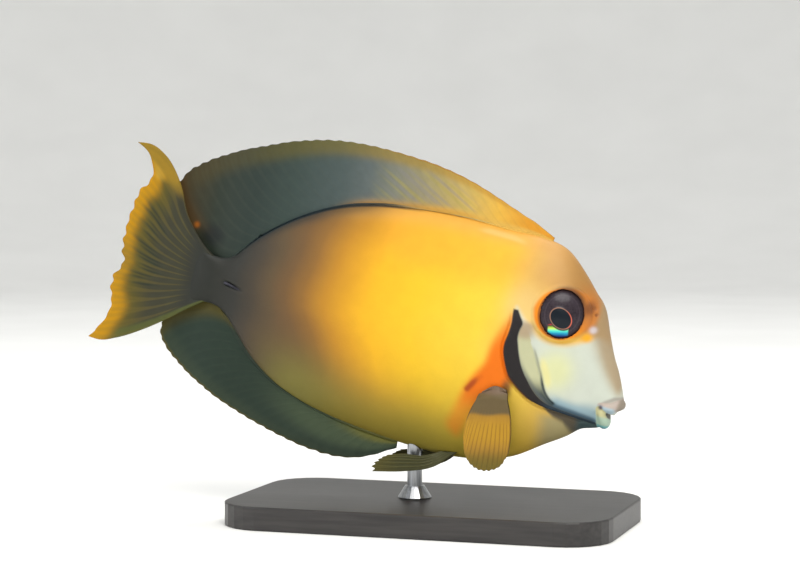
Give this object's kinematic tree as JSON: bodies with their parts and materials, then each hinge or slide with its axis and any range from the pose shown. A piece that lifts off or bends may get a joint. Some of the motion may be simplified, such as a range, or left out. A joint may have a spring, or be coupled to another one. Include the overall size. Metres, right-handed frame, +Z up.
{
  "type": "chocolate surgeonfish model",
  "caption": "Life-size still model of a young chocolate surgeonfish, nose-down in a gentle turn, held by a short rod on a flat rounded base.",
  "frame": {"origin": "centre of the display base's underside, on the surface that the model stands on", "axes": "+X runs along the fish towards its head, +Y to the fish's left, +Z up"},
  "size_m": [0.1181, 0.046, 0.0815],
  "materials": {
    "face_skin": "moist satin skin with fine scales",
    "body_skin": "moist satin skin with fine scales",
    "gill_edge": "moist satin skin",
    "fin_dark": "satin membrane over rays",
    "fin_tail": "satin membrane over rays",
    "fin_yellow": "satin membrane over rays",
    "eye": "clear gloss",
    "spine": "satin",
    "stand": "satin",
    "stand_metal": "satin"
  },
  "bodies": {
    "root": {"head": "face_skin", "gill_cover_left": "gill_edge", "gill_cover_right": "gill_edge", "trunk": "body_skin", "tail_stock": "body_skin", "dorsal_fin": "fin_dark", "anal_fin": "fin_dark", "tail_fin": "fin_tail", "pectoral_fin_left": "fin_yellow", "pectoral_fin_right": "fin_yellow", "pelvic_fin_left": "fin_dark", "pelvic_fin_right": "fin_dark", "eye_left": "eye", "eye_right": "eye", "tail_spine_left": "spine", "tail_spine_right": "spine", "stand_base": "stand", "stand_rod": "stand_metal"}
  },
  "joints": []
}
